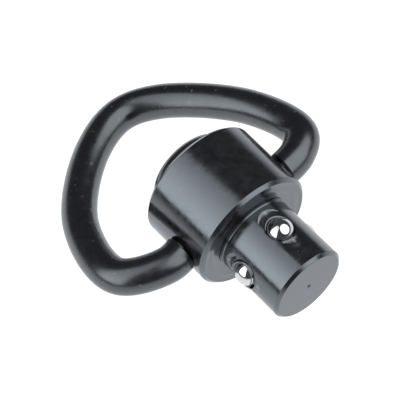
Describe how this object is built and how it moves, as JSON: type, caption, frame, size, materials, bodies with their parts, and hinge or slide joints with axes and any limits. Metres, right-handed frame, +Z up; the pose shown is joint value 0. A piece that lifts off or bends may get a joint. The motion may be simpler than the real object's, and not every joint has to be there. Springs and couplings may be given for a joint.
{
  "type": "push-button sling swivel",
  "caption": "Quick-release sling swivel: a push button frees the lock balls of its plug, and a bent wire loop swings on the barrel to carry a strap.",
  "frame": {"origin": "centre of the bounding box's base, on the floor the swivel lies on", "axes": "+X along the loop's hinge axis, +Y from the plug's tip towards the button and the loop's tip, +Z up from the floor"},
  "size_m": [0.032, 0.0372, 0.0152],
  "materials": {
    "blackened_steel": "turned and blackened, semi-gloss",
    "black_coating": "smooth gloss black over steel wire",
    "chrome_ball": "polished",
    "plain_steel": "machined"
  },
  "bodies": {
    "swivel": {"swivel_body": "blackened_steel", "return_spring": "plain_steel"},
    "loop": {"wire_loop": "black_coating"},
    "plunger": {"push_button": "blackened_steel", "lock_stem": "plain_steel"},
    "ball_1": {"lock_ball_1": "chrome_ball"},
    "ball_2": {"lock_ball_2": "chrome_ball"},
    "ball_3": {"lock_ball_3": "chrome_ball"},
    "ball_4": {"lock_ball_4": "chrome_ball"}
  },
  "joints": [
    {"name": "loop_swing", "type": "hinge", "parent": "swivel", "child": "loop", "pos_m": [0.00094, -0.00547, 0.0076], "axis": [1, 0, 0], "continuous": true},
    {"name": "button_press", "type": "slide", "parent": "swivel", "child": "plunger", "axis": [0, -1, 0], "range_m": [0, 0.0022], "stiffness_N_per_m": 600, "springref_m": -0.006, "deforming": ["return_spring"]},
    {"name": "ball_1_slide", "type": "slide", "parent": "swivel", "child": "ball_1", "axis": [-0.9781, 0, 0.2079], "range_m": [0, 0.0008]},
    {"name": "ball_2_slide", "type": "slide", "parent": "swivel", "child": "ball_2", "axis": [0.2079, 0, 0.9781], "range_m": [0, 0.0008]},
    {"name": "ball_3_slide", "type": "slide", "parent": "swivel", "child": "ball_3", "axis": [0.9781, 0, -0.2079], "range_m": [0, 0.0008]},
    {"name": "ball_4_slide", "type": "slide", "parent": "swivel", "child": "ball_4", "axis": [-0.2079, 0, -0.9781], "range_m": [0, 0.0008]}
  ],
  "couplings": [
    {"joint": "ball_1_slide", "follows": "button_press", "ratio": 0.36364},
    {"joint": "ball_2_slide", "follows": "button_press", "ratio": 0.36364},
    {"joint": "ball_3_slide", "follows": "button_press", "ratio": 0.36364},
    {"joint": "ball_4_slide", "follows": "button_press", "ratio": 0.36364}
  ]
}
